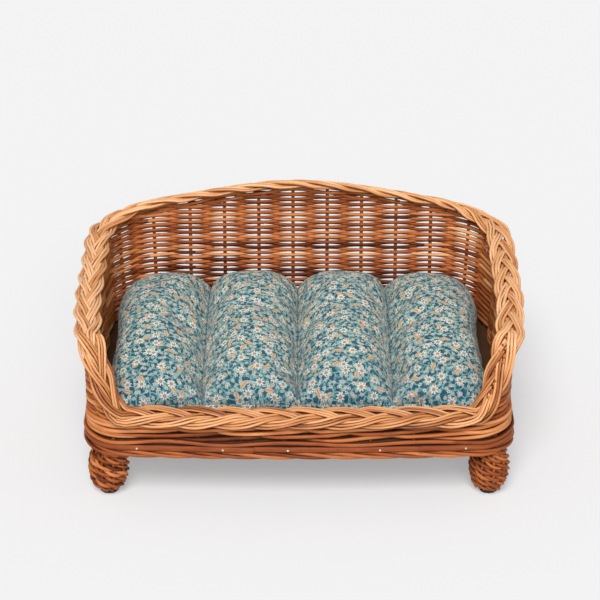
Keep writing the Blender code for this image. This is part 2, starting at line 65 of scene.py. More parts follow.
def tracePlan():
    width, depth = basket["halfWidth"], basket["halfDepth"]
    front, back = basket["frontCorner"], basket["backCorner"]
    side, arc = basket["sideKnots"], basket["cornerKnots"]
    spots = [((width - front) * i / side, -depth) for i in range(side)]
    corners = ((1, -1, front, -90), (1, 1, back, 0), (-1, 1, back, 90), (-1, -1, front, 180))
    for sideX, sideY, radius, start in corners:
        for i in range(arc + 1):
            turn = math.radians(start + 90 * i / arc)
            spots.append((sideX * (width - radius) + radius * math.cos(turn),
                          sideY * (depth - radius) + radius * math.sin(turn)))
    spots += [(-(width - front) * (1 - i / side), -depth) for i in range(1, side + 1)]
    bowed = []
    for x, y in spots:
        share = max(0.0, -y / depth) ** 4
        bowed.append((x, y - basket["frontBow"] * (1 - (x / width) ** 2) * share))
    return np.array(bowed)


planSpots = tracePlan()
planRuns = np.concatenate(([0.0], np.cumsum(np.linalg.norm(np.diff(planSpots, axis=0), axis=1))))
loopLength = planRuns[-1]
cornerRun = basket["halfWidth"] - basket["frontCorner"]
armStart = cornerRun + math.pi / 2 * basket["frontCorner"]
armEnd = armStart + 2 * basket["halfDepth"] - basket["frontCorner"] - basket["backCorner"]


def planSpot(run):
    run %= loopLength
    return Vector((np.interp(run, planRuns, planSpots[:, 0]), np.interp(run, planRuns, planSpots[:, 1]), 0.0))


def planOut(run):
    along = (planSpot(run + basket["probe"]) - planSpot(run - basket["probe"])).normalized()
    return Vector((along.y, -along.x, 0.0))


def fromFront(run):
    run %= loopLength
    return min(run, loopLength - run)


def rimClimb(run):
    return softStep((fromFront(run) - cornerRun - basket["riseStart"]) / basket["riseLength"])


def rimHeight(run):
    away = fromFront(run)
    arm = min(1.0, max(0.0, (away - armStart) / (armEnd - armStart)))
    arch = softStep((away - armEnd) / (loopLength / 2 - armEnd))
    height = basket["frontRim"] + (basket["armRim"] - basket["frontRim"]) * rimClimb(run)
    height += (basket["shoulderRim"] - basket["armRim"]) * arm
    return height + (basket["backRim"] - basket["shoulderRim"]) * arch


def rimRoll(run):
    away = fromFront(run)
    front = 1 - softStep((away - cornerRun) / (armStart - cornerRun))
    back = softStep((away - armEnd) / (basket["backCorner"] * math.pi / 2))
    return basket["frontRoll"] * front + basket["backRoll"] * back


def baseSpot(run, height, outside=0.0):
    spot = planSpot(run) + planOut(run) * outside
    return Vector((spot.x, spot.y + basket["shift"], height))


def wallSpot(run, height, outside=0.0):
    out = planOut(run)
    flare = basket["sideFlare"] * out.x ** 2
    flare += (basket["backFlare"] if out.y > 0 else basket["frontFlare"]) * out.y ** 2
    lean = height - basket["leanFrom"]
    # the arms are drawn in behind the climb
    behind = softStep((fromFront(run) - armStart) / basket["drawnLength"])
    drawnIn = basket["drawnIn"] * rimClimb(run) * (1 - behind) * lean / (rimHeight(run) - basket["leanFrom"])
    return baseSpot(run, height, outside + flare * lean - drawnIn)


def stakeRun(bay):
    share = (bay + 0.5) / basket["stakes"]
    crowd = basket["crowding"] * math.sin(2 * math.pi * share) / (2 * math.pi)
    return loopLength * (share + crowd) + basket["stakeShift"]


# camera, floor and light
view = {"target": (0.0014, -0.003, 0.2015), "distance": 3.0, "elevation": 26.0, "lens": 129.0, "sensor": 36.0}
studio = {"floor": (0.90, 0.90, 0.905), "floorSize": 16.0, "floorPlace": (0.0, 3.0, 0.0),
          "sky": 0.30, "skySeen": 0.9,
          "floorGlow": 0.34, "suns": [(2.05, 26.0, (38, -8)), (1.10, 30.0, (57, 6))]}


def pickOnly(piece):
    bpy.ops.object.select_all(action="DESELECT")
    piece.select_set(True)
    bpy.context.view_layer.objects.active = piece


def addNode(tree, kind, feeds=None, **settings):
    node = tree.nodes.new(kind)
    for key, value in settings.items():
        setattr(node, key, value)
    for key, value in (feeds or {}).items():
        if isinstance(value, bpy.types.NodeSocket):
            tree.links.new(value, node.inputs[key])
        else:
            node.inputs[key].default_value = value
    return node


def addMath(tree, operation, *values):
    return addNode(tree, "ShaderNodeMath", dict(enumerate(values)), operation=operation).outputs[0]


def addNoise(tree, vector, scale, detail):
    noise = addNode(tree, "ShaderNodeTexNoise", {"Vector": vector, "Scale": scale, "Detail": detail})
    return noise.outputs["Fac"]


def addBump(tree, shader, height, strength, depth):
    bump = addNode(tree, "ShaderNodeBump", {"Height": height, "Strength": strength, "Distance": depth})
    tree.links.new(bump.outputs["Normal"], shader.inputs["Normal"])


def faceOutwards(piece, merge=0.0):
    pickOnly(piece)
    bpy.ops.object.mode_set(mode="EDIT")
    bpy.ops.mesh.select_all(action="SELECT")
    if merge:
        bpy.ops.mesh.remove_doubles(threshold=merge)
    bpy.ops.mesh.normals_make_consistent(inside=False)
    bpy.ops.object.mode_set(mode="OBJECT")


def newFinish(name, roughness):
    finish = bpy.data.materials.new(name)
    finish.use_nodes = True
    shader = finish.node_tree.nodes["Principled BSDF"]
    shader.inputs["Roughness"].default_value = roughness
    return finish, finish.node_tree, shader


def setStudio():
    bpy.ops.object.select_all(action="DESELECT")
    tilt = math.radians(view["elevation"])
    spot = Vector(view["target"]) + Vector((0.0, -math.cos(tilt), math.sin(tilt))) * view["distance"]
    bpy.ops.object.camera_add(location=spot, rotation=(math.pi / 2 - tilt, 0.0, 0.0))
    camera = bpy.context.object
    camera.data.lens = view["lens"]
    camera.data.sensor_width = view["sensor"]
    bpy.context.scene.camera = camera
    bpy.ops.object.select_all(action="DESELECT")
    bpy.ops.mesh.primitive_plane_add(size=studio["floorSize"], location=studio["floorPlace"])
    floor = bpy.context.object
    floor.name = "studio_floor"
    finish, tree, shader = newFinish("pale studio floor", 0.9)
    shader.inputs["Base Color"].default_value = (*studio["floor"], 1.0)
    shader.inputs["Specular IOR Level"].default_value = 0.0
    # the floor's glow is for the eye only, and lights nothing
    path = addNode(tree, "ShaderNodeLightPath").outputs
    seen = addMath(tree, "MAXIMUM", path["Is Camera Ray"], path["Is Glossy Ray"])
    seen = addMath(tree, "MAXIMUM", seen, path["Is Transmission Ray"])
    seen = addMath(tree, "MULTIPLY", seen, studio["floorGlow"])
    glow = addNode(tree, "ShaderNodeEmission", {"Color": (*studio["floor"], 1.0), "Strength": 1.0})
    both = addNode(tree, "ShaderNodeMixShader", {0: seen, 1: shader.outputs[0], 2: glow.outputs[0]})
    tree.links.new(both.outputs[0], tree.nodes["Material Output"].inputs["Surface"])
    floor.data.materials.append(finish)
    bpy.ops.object.select_all(action="DESELECT")
    for strength, softness, (tiltX, tiltY) in studio["suns"]:
        bpy.ops.object.light_add(type="SUN", rotation=(math.radians(tiltX), math.radians(tiltY), 0.0))
        sun = bpy.context.object
        sun.data.energy = strength
        sun.data.angle = math.radians(softness)
    world = bpy.data.worlds.new("studio sky")
    world.use_nodes = True
    tree = world.node_tree
    sky = tree.nodes["Background"]
    sky.inputs["Color"].default_value = (1.0, 1.0, 1.0, 1.0)
    sky.inputs["Strength"].default_value = studio["sky"]
    pale = addNode(tree, "ShaderNodeBackground", {
        "Color": (1.0, 1.0, 1.0, 1.0), "Strength": studio["skySeen"]})
    path = addNode(tree, "ShaderNodeLightPath").outputs
    both = addNode(tree, "ShaderNodeMixShader", {
        0: path["Is Camera Ray"], 1: sky.outputs[0], 2: pale.outputs[0]})
    tree.links.new(both.outputs[0], tree.nodes["World Output"].inputs["Surface"])
    bpy.context.scene.world = world
    bpy.context.scene.view_settings.view_transform = "Standard"


setStudio()
print("camera, floor and light")


# willow rods: each rod has its own shade, streaks along its length and small bud scars
willow = {"streak": (34.0, 7.0, 1.0), "blotch": 22.0, "streakTone": 0.42, "blotchTone": 0.34, "level": 0.38,
          "scar": (26.0, 1.6, 1.0), "scarEdge": (0.03, 0.10), "scarDark": 0.45, "bump": (0.25, 0.0006),
          "roughSpread": (-0.08, 0.12), "mapStarts": (0, 40), "faceEdge": 0.6, "endLength": 0.22}


def willowFinish(name, tones, roughness=0.46, gloss=0.16):
    finish, tree, shader = newFinish(name, roughness)
    run = addNode(tree, "ShaderNodeUVMap", uv_map="rodMap").outputs["UV"]
    shade = addNode(tree, "ShaderNodeAttribute", attribute_name="rodShade").outputs["Fac"]
    streakRun = addNode(tree, "ShaderNodeMapping", {
        "Vector": run, "Scale": willow["streak"]}).outputs["Vector"]
    streak = addNoise(tree, streakRun, 1.0, 4.0)
    spot = addNode(tree, "ShaderNodeTexCoord").outputs["Object"]
    blotch = addNoise(tree, spot, willow["blotch"], 2.0)
    tone = addMath(tree, "MULTIPLY_ADD", streak, willow["streakTone"], shade)
    tone = addMath(tree, "MULTIPLY_ADD", blotch, willow["blotchTone"], tone)
    tone = addMath(tree, "SUBTRACT", tone, willow["level"])
    ramp = addNode(tree, "ShaderNodeValToRGB", {"Fac": tone})
    stops = ramp.color_ramp.elements
    for place, colour in tones[:-2]:
        stops.new(place)
    for stop, (place, colour) in zip(sorted(stops, key=lambda one: one.position), tones):
        stop.position = place
    for stop, (place, colour) in zip(stops, tones):
        stop.color = (*colour, 1.0)
    scarRun = addNode(tree, "ShaderNodeMapping", {"Vector": run, "Scale": willow["scar"]}).outputs["Vector"]
    scar = addNode(tree, "ShaderNodeTexVoronoi", {"Vector": scarRun, "Scale": 1.0}).outputs["Distance"]
    scarred = addNode(tree, "ShaderNodeMapRange", {
        "Value": scar, "From Min": willow["scarEdge"][0], "From Max": willow["scarEdge"][1],
        "To Min": willow["scarDark"], "To Max": 1.0}).outputs[0]
    colour = addNode(tree, "ShaderNodeMix", {
        0: 1.0, 6: ramp.outputs["Color"], 7: scarred}, data_type="RGBA", blend_type="MULTIPLY")
    tree.links.new(colour.outputs[2], shader.inputs["Base Color"])
    addBump(tree, shader, addMath(tree, "ADD", streak, scarred), *willow["bump"])
    smoother, rougher = willow["roughSpread"]
    rough = addNode(tree, "ShaderNodeMapRange", {
        "Value": streak, "To Min": roughness + smoother, "To Max": roughness + rougher}).outputs[0]
    tree.links.new(rough, shader.inputs["Roughness"])
    shader.inputs["Specular IOR Level"].default_value = gloss
    return finish


# one willow in three ramps: the lightest for the border on top, darker and redder ones for the wall, stakes
# and feet and for the waling, rope and hoop below; the difference is mostly painted shade and bounced light,
# partly darker rods
litWillowTones = [(0.0, (0.10, 0.021, 0.006)), (0.25, (0.37, 0.112, 0.030)), (0.5, (0.62, 0.254, 0.088)),
             (0.8, (0.81, 0.405, 0.175)), (1.0, (0.93, 0.55, 0.29))]
shadedWillowTones = [(0.0, (0.085, 0.016, 0.004)), (0.25, (0.28, 0.070, 0.018)), (0.5, (0.49, 0.150, 0.045)),
              (0.8, (0.67, 0.262, 0.090)), (1.0, (0.81, 0.41, 0.17))]
deepShadeWillowTones = [(0.0, (0.070, 0.013, 0.004)), (0.25, (0.24, 0.054, 0.014)), (0.5, (0.40, 0.112, 0.032)),
             (0.8, (0.58, 0.200, 0.063)), (1.0, (0.73, 0.33, 0.13))]


# rods are bent as curves and made a mesh; thickness is a rod's diameter at each knot of its path
def bendRods(name, rods, finish, bevel=1):
    unit = 0.001
    curve = bpy.data.curves.new(name, "CURVE")
    curve.dimensions = "3D"
    curve.twist_mode = "MINIMUM"
    curve.bevel_depth = unit
    curve.bevel_resolution = bevel
    for rod in rods:
        knots = len(rod["path"])
        spline = curve.splines.new("POLY")
        spline.points.add(knots - 1)
        spots = np.ones((knots, 4))
        spots[:, :3] = [tuple(spot) for spot in rod["path"]]
        spline.points.foreach_set("co", spots.ravel())
        spline.points.foreach_set("radius", 0.5 / unit * np.broadcast_to(rod["thick"], knots))
        spline.use_cyclic_u = rod.get("closed", False)
        spline.use_smooth = True
    piece = bpy.data.objects.new(name, curve)
    bpy.context.scene.collection.objects.link(piece)
    pickOnly(piece)
    bpy.ops.object.convert(target="MESH")
    piece = bpy.context.object
    piece.name = name
    markRods(piece.data, rods)
    faceOutwards(piece, merge=0.00002)
    bpy.ops.object.shade_smooth()
    piece.data.materials.clear()
    piece.data.materials.append(finish)
    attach(piece, "basket")
    return piece


# each rod's shade on its points, and a map that runs along it and round it
def markRods(mesh, rods):
    knots = sum(len(rod["path"]) for rod in rods)
    ring = len(mesh.vertices) // knots
    if ring * knots != len(mesh.vertices):
        raise ValueError("rods and mesh differ")
    corners = np.empty(len(mesh.vertices) * 3)
    mesh.vertices.foreach_get("co", corners)
    corners = corners.reshape(-1, ring, 3)
    shades, runs, first = [], [], 0
    for rod in rods:
        path = np.array([tuple(spot) for spot in rod["path"]])
        steps = np.linalg.norm(np.diff(path, axis=0), axis=1)
        runs.append(np.repeat(np.concatenate(([0.0], np.cumsum(steps))) + rod["start"], ring))
        shade = np.repeat(np.broadcast_to(rod["shade"], len(path)), ring).reshape(-1, ring)
        if "face" in rod:  # painted shade: the sides that lie against other rods are darker
            side = corners[first:first + len(path)] - path[:, None, :]
            side /= np.maximum(np.linalg.norm(side, axis=2, keepdims=True), 1e-7)
            shown = np.einsum("krc,kc->kr", side, np.array([tuple(face) for face in rod["face"]]))
            shown = np.clip(abs(shown) if rod.get("bothSides") else shown, 0.0, 1.0)
            turnedAway = np.clip(1 - shown / willow["faceEdge"], 0.0, 1.0) ** 2
            shade = shade - np.reshape(rod["grime"], (-1, 1)) * turnedAway
        shades.append(shade.ravel())
        first += len(path)
    runs, shades = np.concatenate(runs), np.concatenate(shades)
    mesh.attributes.new("rodShade", "FLOAT", "POINT").data.foreach_set("value", shades.astype(np.float32))
    corner = np.empty(len(mesh.loops), dtype=np.int32)
    mesh.loops.foreach_get("vertex_index", corner)
    around = (corner % ring).reshape(-1, 4)
    wraps = (around.max(axis=1) == ring - 1) & (around.min(axis=1) == 0)
    around[wraps[:, None] & (around == 0)] = ring
    places = np.stack((runs[corner], around.ravel() / ring), axis=1)
    mesh.uv_layers.new(name="rodMap").data.foreach_set("uv", places.astype(np.float32).ravel())


# a rod's two ends are rounded off to a point
def closeEnds(path, thick, shade, faces=None, grime=0.0):
    path = [Vector(spot) for spot in path]
    count = len(path)
    thick = list(np.broadcast_to(thick, count))
    first = path[0] + (path[0] - path[1]).normalized() * thick[0] * willow["endLength"]
    last = path[-1] + (path[-1] - path[-2]).normalized() * thick[-1] * willow["endLength"]
    path = [first] + path + [last]
    thick = [0.0] + thick + [0.0]
    shade = np.pad(np.broadcast_to(shade, count), 1, mode="edge")
    rod = {"path": path, "thick": np.array(thick), "shade": shade, "start": rng.uniform(*willow["mapStarts"])}
    if faces:
        rod.update(face=[faces[0]] + faces + [faces[-1]], grime=grime, bothSides=True)
    return rod


def pickShade(mean, spread, least=0.05, most=0.95):
    return min(most, max(least, rng.gauss(mean, spread)))


# a smooth random drift along a rod
def wander(size, waves):
    parts = [(rng.uniform(0.6, 1.4) * waves, rng.uniform(0, 2 * math.pi), rng.uniform(0.4, 1.0))
             for i in range(3)]
    total = sum(part[2] for part in parts)
    return lambda t: size * sum(p[2] * math.sin(2 * math.pi * p[0] * t + p[1]) for p in parts) / total


# the wall of the arms and back: single rods in and out between the stakes, rows alternating
weave = {"rod": 0.0047, "pitch": 0.0039, "offset": 0.0041, "bottom": 0.0983,
         "walingTop": 0.113, "endRoom": 0.02,
         "endStep": 0.05, "cover": 0.002, "climbCover": 0.044, "archRun": 0.08, "bayKnots": 7, "bays": (5, 9),
         "leastBays": 2, "lead": 0.1, "tail": 0.16, "lap": 0.3, "butt": 1.10,
         "tip": 0.88, "sizes": (0.94, 1.06),
         "sway": (0.0004, 0.35), "shade": (0.34, 0.20), "grime": 0.42, "armFuller": 0.28, "armPaintedLight": 0.26}
# rods packed in along the arch, under the back border
packing = {"rows": 4, "lap": 1.6, "top": 0.003, "bays": (9.5, 22.5), "knots": 90, "shade": (0.3, 0.6)}


def rowEnd(height, way):
    bay = (basket["stakes"] - 1) / 2
    limit = cornerRun - weave["endRoom"] if height > weave["walingTop"] else armStart + weave["endRoom"]
    while fromFront(stakeRun(bay)) > limit and rimHeight(stakeRun(bay)) - rowCover(stakeRun(bay)) > height:
        bay += way * weave["endStep"]
    return bay


def rowCover(run):
    back = softStep((fromFront(run) - armEnd) / weave["archRun"])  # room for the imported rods
    climb = rimClimb(run)  # where the border climbs, rows end short of it
    cover = weave["cover"] + weave["pitch"] * (packing["rows"] - packing["lap"]) * back
    return cover + weave["climbCover"] * climb * (1 - climb)


def weaveSpot(bay, row, height):
    run = stakeRun(bay)
    return wallSpot(run, height, weave["offset"] * math.cos(math.pi * (bay + row)))


def weaveWall():
    rods = []
    topHeight = rimHeight(loopLength / 2) - rowCover(loopLength / 2)
    rows = int((topHeight - weave["bottom"]) / weave["pitch"])
    for row in range(rows):
        height = weave["bottom"] + weave["pitch"] * row
        here, end = rowEnd(height, -1), rowEnd(height, 1)
        sway = wander(*weave["sway"])
        here -= weave["lead"]
        while here < end:
            there = min(end, round(here) + rng.randint(*weave["bays"]) + weave["tail"])
            if end - there < weave["leastBays"]:
                there = end
            count = max(4, int((there - here) * weave["bayKnots"]))
            path, thick, faces = [], [], []
            butt, tip = (weave["butt"], weave["tip"]) if rng.random() < 0.5 else (weave["tip"], weave["butt"])
            size = weave["rod"] * rng.uniform(*weave["sizes"])
            for i in range(count + 1):
                bay = here + (there - here) * i / count
                path.append(weaveSpot(bay, row, height + sway(bay)))
                faces.append(planOut(stakeRun(bay)))
                fuller = 1 + weave["armFuller"] * abs(faces[-1].x)
                thick.append(size * fuller * (butt + (tip - butt) * i / count))
            # painted light: the rods of the arms, which face sideways, are lighter
            shade = pickShade(*weave["shade"]) + weave["armPaintedLight"] * np.array([abs(face.x) for face in faces])
            rods.append(closeEnds(path, thick, shade, faces, weave["grime"]))
            here = there - weave["lap"] if there < end else end
    first, last = packing["bays"]
    for row in range(packing["rows"]):
        path, faces = [], []
        for i in range(packing["knots"] + 1):
            bay = first + (last - first) * i / packing["knots"]
            height = rimHeight(stakeRun(bay)) - packing["top"] - weave["pitch"] * row
            path.append(weaveSpot(bay, row, height))
            faces.append(planOut(stakeRun(bay)))
        rods.append(closeEnds(path, weave["rod"], rng.uniform(*packing["shade"]), faces, weave["grime"]))
    piece = bendRods("woven_wall", rods, willowFinish("wall willow", shadedWillowTones))
    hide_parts("wall_weave")
    print("woven wall,", len(rods), "rods,", len(piece.data.polygons), "faces")


weaveWall()

# the stakes that the wall is woven on, each a tapered rod up to the border
stakes = {"rod": 0.0055, "tip": 0.0048, "bottom": 0.0840, "cover": 0.005, "knots": 9,
          "shade": (0.25, 0.5), "matchHeight": 0.1}


def raiseStakes():
    finish = willowFinish("stake willow", shadedWillowTones)
    middles = [wallSpot(stakeRun(stake), stakes["matchHeight"]) for stake in range(basket["stakes"])]
    for name in list(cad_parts):
        if "_stake_" not in name:
            continue
        low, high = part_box(name)
        here = Vector(((low.x + high.x) / 2, (low.y + high.y) / 2, stakes["matchHeight"]))
        stake = min(range(basket["stakes"]), key=lambda one: (middles[one] - here).length)
        run = stakeRun(stake)
        top = rimHeight(run) - stakes["cover"]
        path, thick = [], []
        for i in range(stakes["knots"]):
            share = i / (stakes["knots"] - 1)
            path.append(wallSpot(run, stakes["bottom"] + (top - stakes["bottom"]) * share))
            thick.append(stakes["rod"] + (stakes["tip"] - stakes["rod"]) * share)
        rod = closeEnds(path, thick, rng.uniform(*stakes["shade"]))
        piece = bendRods(name + "_rod", [rod], finish, bevel=2)
        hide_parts(name)
    print("stakes,", basket["stakes"])


raiseStakes()

# the plaited border: five strands of three rods, over two and under two
plait = {"strands": 5, "periods": 8, "knots": 34, "swing": 0.0128, "squareness": 0.06, "lift": 0.0030,
         "crossing": 1.8, "dome": 0.040, "rod": 0.0040, "rods": 3, "rodPitch": 0.0041, "sizes": (0.94, 1.08),
         "sway": (0.0008, 34), "bob": (0.0006, 28), "shade": (0.86, 0.18, 0.0, 1.0), "shadeLag": 0.08,
         "sunkPaintedShade": 0.16, "frontPaintedDarkening": 0.28, "frontEase": 0.05, "grime": 0.42, "frontPaintedShade": 0.80,
         "roughness": 0.33, "gloss": 0.40, "finePoints": 1600}


def rimSpot(run):
    return wallSpot(run, rimHeight(run))


def rimRuns(count):
    points = plait["finePoints"]
    fine = [rimSpot(loopLength * i / points) for i in range(points + 1)]
    lengths = np.concatenate(([0.0], np.cumsum([(b - a).length for a, b in zip(fine, fine[1:])])))
    return np.interp(np.arange(count) * lengths[-1] / count, lengths, np.linspace(0, loopLength, points + 1))


def rimAxes(run):
    along = (rimSpot(run + basket["probe"]) - rimSpot(run - basket["probe"])).normalized()
    out = planOut(run)
    out = (out - along * out.dot(along)).normalized()
    up = out.cross(along)
    roll = rimRoll(run)
    outwards = out * math.cos(roll) - up * math.sin(roll)
    return rimSpot(run), outwards, up * math.cos(roll) + out * math.sin(roll)


def plaitBorder():
    count = plait["periods"] * plait["knots"]
    runs = rimRuns(count)
    axes = [rimAxes(run) for run in runs]
    # painted shade: the front of the border is darker, with deeper painted shade between its rods
    front = np.array([softStep((armStart - fromFront(run)) / plait["frontEase"]) for run in runs])
    paintedFrontDarkening = plait["frontPaintedDarkening"] * front
    grime = plait["grime"] + (plait["frontPaintedShade"] - plait["grime"]) * front
    rods = []
    for strand in range(plait["strands"]):
        path, faces = [], []
        for i, (middle, out, up) in enumerate(axes):
            phase = 2 * math.pi * (i / plait["knots"] + strand / plait["strands"])
            swing = math.sin(phase) - plait["squareness"] * math.sin(3 * phase)
            turn = plait["swing"] * swing / plait["dome"]
            lift = math.tanh(plait["crossing"] * math.sin(2 * phase)) / math.tanh(plait["crossing"])
            face = up * math.cos(turn) + out * math.sin(turn)
            path.append(middle - up * plait["dome"] + face * (plait["dome"] - plait["lift"] * lift))
            faces.append(face)
        for rod in range(plait["rods"]):
            shadeSteps = [pickShade(*plait["shade"]) for i in range(plait["periods"] + 2)]
            sizeSteps = [rng.uniform(*plait["sizes"]) for i in range(plait["periods"] + 2)]
            sway = wander(*plait["sway"])
            bob = wander(*plait["bob"])
            spots, shades, sizes = [], [], []
            for i, face in enumerate(faces):
                along = (path[(i + 1) % count] - path[i - 1]).normalized()
                wide = face.cross(along).normalized()
                across = (rod - (plait["rods"] - 1) / 2) * plait["rodPitch"]
                spots.append(path[i] + wide * (across + sway(i / count)) + face * bob(i / count))
                place = i / plait["knots"] + strand / plait["strands"]
                step = int(place - plait["shadeLag"] + 1) % plait["periods"]
                # painted shade where a rod sinks under the strands that cross it
                sunk = max(0.0, -(path[i] - axes[i][0] + axes[i][2] * plait["dome"]).length + plait["dome"])
                shades.append(shadeSteps[step] - plait["sunkPaintedShade"] * sunk / plait["lift"] - paintedFrontDarkening[i])
                sizes.append(plait["rod"] * sizeSteps[step])
            rods.append({"path": spots, "thick": np.array(sizes), "shade": np.array(shades), "face": faces,
                         "grime": grime, "start": rng.uniform(*willow["mapStarts"]), "closed": True})
    finish = willowFinish("border willow", litWillowTones, plait["roughness"], plait["gloss"])
    piece = bendRods("plaited_border", rods, finish, bevel=2)
    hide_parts(*["border_strand_%d" % (i + 1) for i in range(plait["strands"])])
    print("plaited border,", len(piece.data.polygons), "faces")


plaitBorder()

# waling at the foot of the wall: rods outside two stakes and inside the next
waling = {"rod": 0.0060, "rows": 6, "pitch": 0.0047, "bottom": 0.0926, "offset": 0.0054, "inside": 0.0032,
          "ledge": 0.0096, "bow": 0.0010, "wave": 0.0021, "backWave": 0.35, "frontEase": 0.06, "bayKnots": 7,
          "corner": 0.080, "cornerEase": 0.04, "sway": (0.0009, 15), "shade": (0.36, 0.18), "grime": 0.55,
          "cornerPaintedLight": 0.24, "rowPaintedLight": 0.025}


def walingSide(stake, row):
    return -1 if (stake + row) % 3 == 0 else 1


def weaveWaling():
    rods = []
    for row in range(waling["rows"]):
        count = basket["stakes"] * waling["bayKnots"]
        shadeSteps = [pickShade(*waling["shade"]) for i in range(basket["stakes"])]
        sway = wander(*waling["sway"])
        path, shades, faces = [], [], []
        for i in range(count):
            bay = i / waling["bayKnots"]
            run = stakeRun(bay)
            stake = int(bay)
            share = bay - stake
            first, second = walingSide(stake, row), walingSide(stake + 1, row)
            ease = (1 - math.cos(math.pi * share)) / 2
            outside = first + (second - first) * ease
            outside *= waling["offset"] if outside > 0 else waling["inside"]
            if first > 0 and second > 0:
                outside += waling["bow"] * math.sin(math.pi * share)
            away = abs(fromFront(run) - (cornerRun + armStart) / 2)
            tight = softStep((waling["corner"] - away) / waling["cornerEase"])
            outside += (waling["offset"] - outside) * tight  # drawn tight round the corners
            if row == 0:
                outside = waling["ledge"]  # the lowest rod lies outside the board's edge
            front = softStep((armStart - fromFront(run)) / waling["frontEase"])
            wave = waling["wave"] * (waling["backWave"] + (1 - waling["backWave"]) * front)
            height = waling["bottom"] + waling["pitch"] * row + sway(i / count)
            height -= wave * math.sin(2 * math.pi * (bay + row) / 3)
            path.append(wallSpot(run, height, outside))
            faces.append(planOut(run))
            # painted light: rods lighter round the corners, and a little lighter row by row upwards
            paintedLight = waling["cornerPaintedLight"] * tight + waling["rowPaintedLight"] * row
            shades.append(shadeSteps[(stake + row) // 3 * 2 % basket["stakes"]] + paintedLight)
        rods.append({"path": path, "thick": waling["rod"], "shade": np.array(shades), "face": faces,
                     "grime": waling["grime"], "bothSides": True, "start": rng.uniform(*willow["mapStarts"]),
                     "closed": True})
    piece = bendRods("waled_foot", rods, willowFinish("waling willow", deepShadeWillowTones), bevel=2)
    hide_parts("waling")
    print("waling,", len(piece.data.polygons), "faces")


weaveWaling()

# the rope of rods under the hoop
rope = {"rods": 3, "rod": 0.0055, "radius": 0.0031, "flat": 0.8, "twists": 13, "knots": 24, "height": 0.0739,
        "outside": 0.0082, "shade": (0.46, 0.16), "grime": 0.5}


def twistRope():
    rods = []
    count = rope["twists"] * rope["knots"]
    for rod in range(rope["rods"]):
        path, shades, faces = [], [], []
        shadeSteps = [pickShade(*rope["shade"]) for i in range(rope["twists"])]
        for i in range(count):
            turn = -2 * math.pi * (i / rope["knots"] + rod / rope["rods"])
            run = loopLength * i / count
            path.append(baseSpot(run, rope["height"] + rope["flat"] * rope["radius"] * math.sin(turn),
                                 rope["outside"] + rope["radius"] * math.cos(turn)))
            faces.append(planOut(run))
            shades.append(shadeSteps[int(i / rope["knots"] + rod / rope["rods"] + 0.5) % rope["twists"]])
        rods.append({"path": path, "thick": rope["rod"], "shade": np.array(shades), "face": faces,
                     "grime": rope["grime"], "start": rng.uniform(*willow["mapStarts"]), "closed": True})
    piece = bendRods("twisted_foot_border", rods, willowFinish("rope willow", deepShadeWillowTones), bevel=2)
    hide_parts("bottom_border")
    print("twisted foot border,", len(piece.data.polygons), "faces")


twistRope()

# the half-round hoop nailed round the board, its ends butted on the front
hoop = {"height": 0.0832, "width": 0.0100, "depth": 0.0048, "fullness": 0.75, "inset": 0.0004, "profile": 8,
        "knots": 200, "joint": -0.060, "gap": 0.0002, "step": 0.0022, "tuck": 0.4, "stepShare": 0.03,
        "shade": 0.29, "grime": 0.40, "edgeFade": 6, "smoothAngle": 50}


def bendHoop():
    middle, half = hoop["height"], hoop["width"] / 2
    points, faces = [], []
    ring = hoop["profile"] + 1
    start = loopLength + hoop["joint"]
    for i in range(hoop["knots"] + 1):
        share = i / hoop["knots"]
        run = start + hoop["gap"] / 2 + (loopLength - hoop["gap"]) * share
        # one end stands proud of the other
        above = softStep((share - 1 + hoop["stepShare"]) / hoop["stepShare"])
        below = softStep((hoop["stepShare"] - share) / hoop["stepShare"])
        proud = hoop["step"] * (above - hoop["tuck"] * below)
        for corner in range(ring):
            turn = math.pi * (corner / hoop["profile"] - 0.5)
            bulge = math.copysign(abs(math.cos(turn)) ** hoop["fullness"], math.cos(turn))
            points.append(baseSpot(run, middle + half * math.sin(turn),
                                   basket["boardEdge"] + hoop["inset"] + proud + hoop["depth"] * bulge))
    for i in range(hoop["knots"]):
        for corner in range(ring):
            after = (corner + 1) % ring
            faces.append((i * ring + corner, i * ring + after,
                          (i + 1) * ring + after, (i + 1) * ring + corner))
    faces.append(tuple(range(ring)))
    faces.append(tuple(hoop["knots"] * ring + corner for corner in range(ring)))
    mesh = bpy.data.meshes.new("nailed_hoop")
    mesh.from_pydata([tuple(point) for point in points], [], faces)
    piece = bpy.data.objects.new("nailed_hoop", mesh)
    bpy.context.scene.collection.objects.link(piece)
    # painted shade along the hoop's top and bottom edges, where it meets the rods above and below
    edges = abs(np.sin(math.pi * (np.arange(ring) / hoop["profile"] - 0.5))) ** hoop["edgeFade"]
    shade = np.tile(hoop["shade"] - hoop["grime"] * edges, hoop["knots"] + 1)
    mesh.attributes.new("rodShade", "FLOAT", "POINT").data.foreach_set("value", shade.astype(np.float32))
    corners = np.empty(len(mesh.loops), dtype=np.int32)
    mesh.loops.foreach_get("vertex_index", corners)
    places = np.stack((corners // ring * loopLength / hoop["knots"], corners % ring / ring), axis=1)
    mesh.uv_layers.new(name="rodMap").data.foreach_set("uv", places.astype(np.float32).ravel())
    faceOutwards(piece)
    bpy.ops.object.shade_smooth_by_angle(angle=math.radians(hoop["smoothAngle"]))
    mesh.materials.append(willowFinish("hoop willow", deepShadeWillowTones))
    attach(piece, "basket")
    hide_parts("base_hoop")
    print("nailed hoop,", len(mesh.polygons), "faces")


bendHoop()

# the hoop's nails, five on the front where they show, then evenly round the rest
nails = {"front": (-0.2155, -0.101, -0.0146, 0.1077, 0.222), "spacing": 0.118, "radius": 0.0017, "flat": 0.55,
         "proud": 0.0001, "roughness": (0.2, 0.45), "metallic": 0.6, "wear": 700.0,
         "tones": ((0.62, 0.50, 0.36), (0.88, 0.80, 0.66))}


